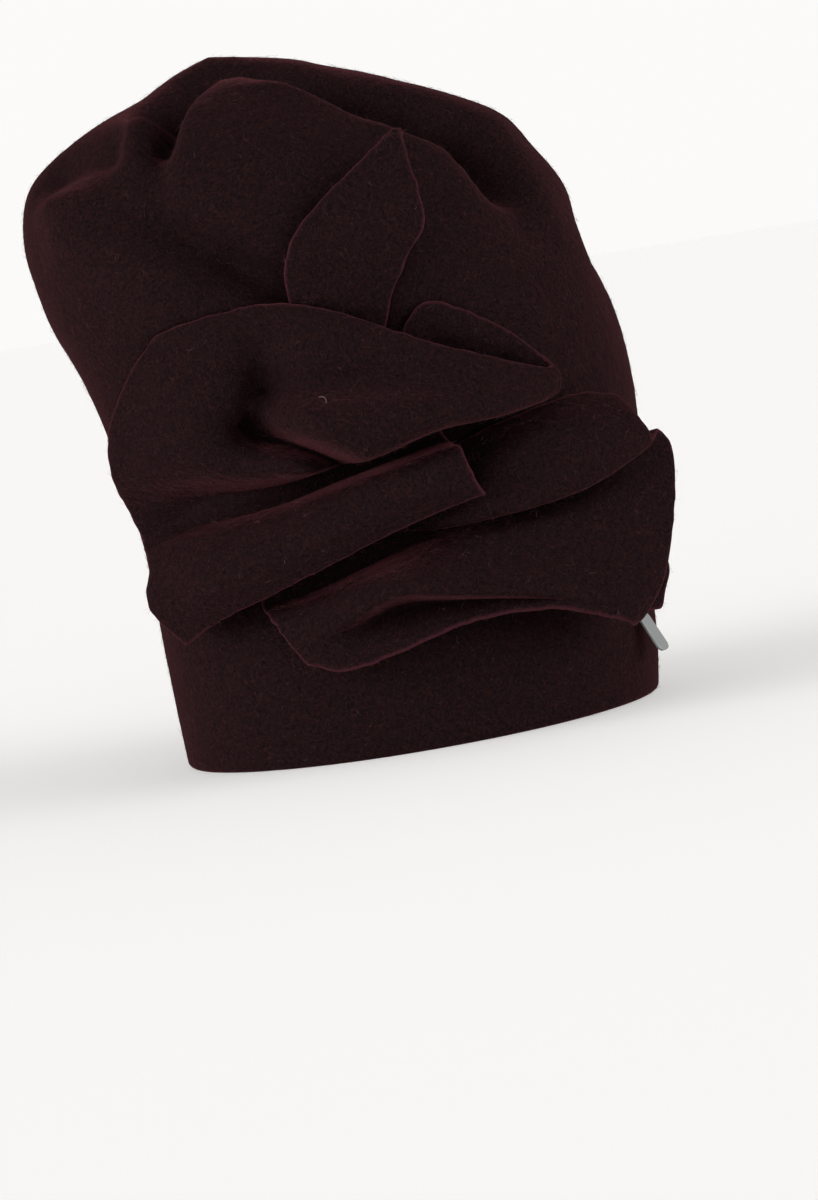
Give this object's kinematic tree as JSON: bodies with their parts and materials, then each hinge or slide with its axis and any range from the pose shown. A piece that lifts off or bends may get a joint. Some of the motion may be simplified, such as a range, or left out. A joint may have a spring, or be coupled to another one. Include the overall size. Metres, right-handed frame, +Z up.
{
  "type": "wool cap",
  "caption": "Tall slouchy felted wool cap with a folded, dented crown and a draped flower of raw-edged felt petals on its front.",
  "frame": {"origin": "middle of the cap's footprint on the surface that the rim rests on", "axes": "+Z up through the crown, -Y towards the side with the flower, +X to the right as seen from the flower's side"},
  "size_m": [0.2462, 0.2211, 0.2869],
  "materials": {
    "felt": "matte heathered burgundy felt",
    "plate": "satin"
  },
  "bodies": {
    "root": {"crown": "felt", "upper_petal": "felt", "lower_petal": "felt", "under_petal": "felt", "leaf_petal": "felt", "label_plate": "plate"}
  },
  "joints": []
}
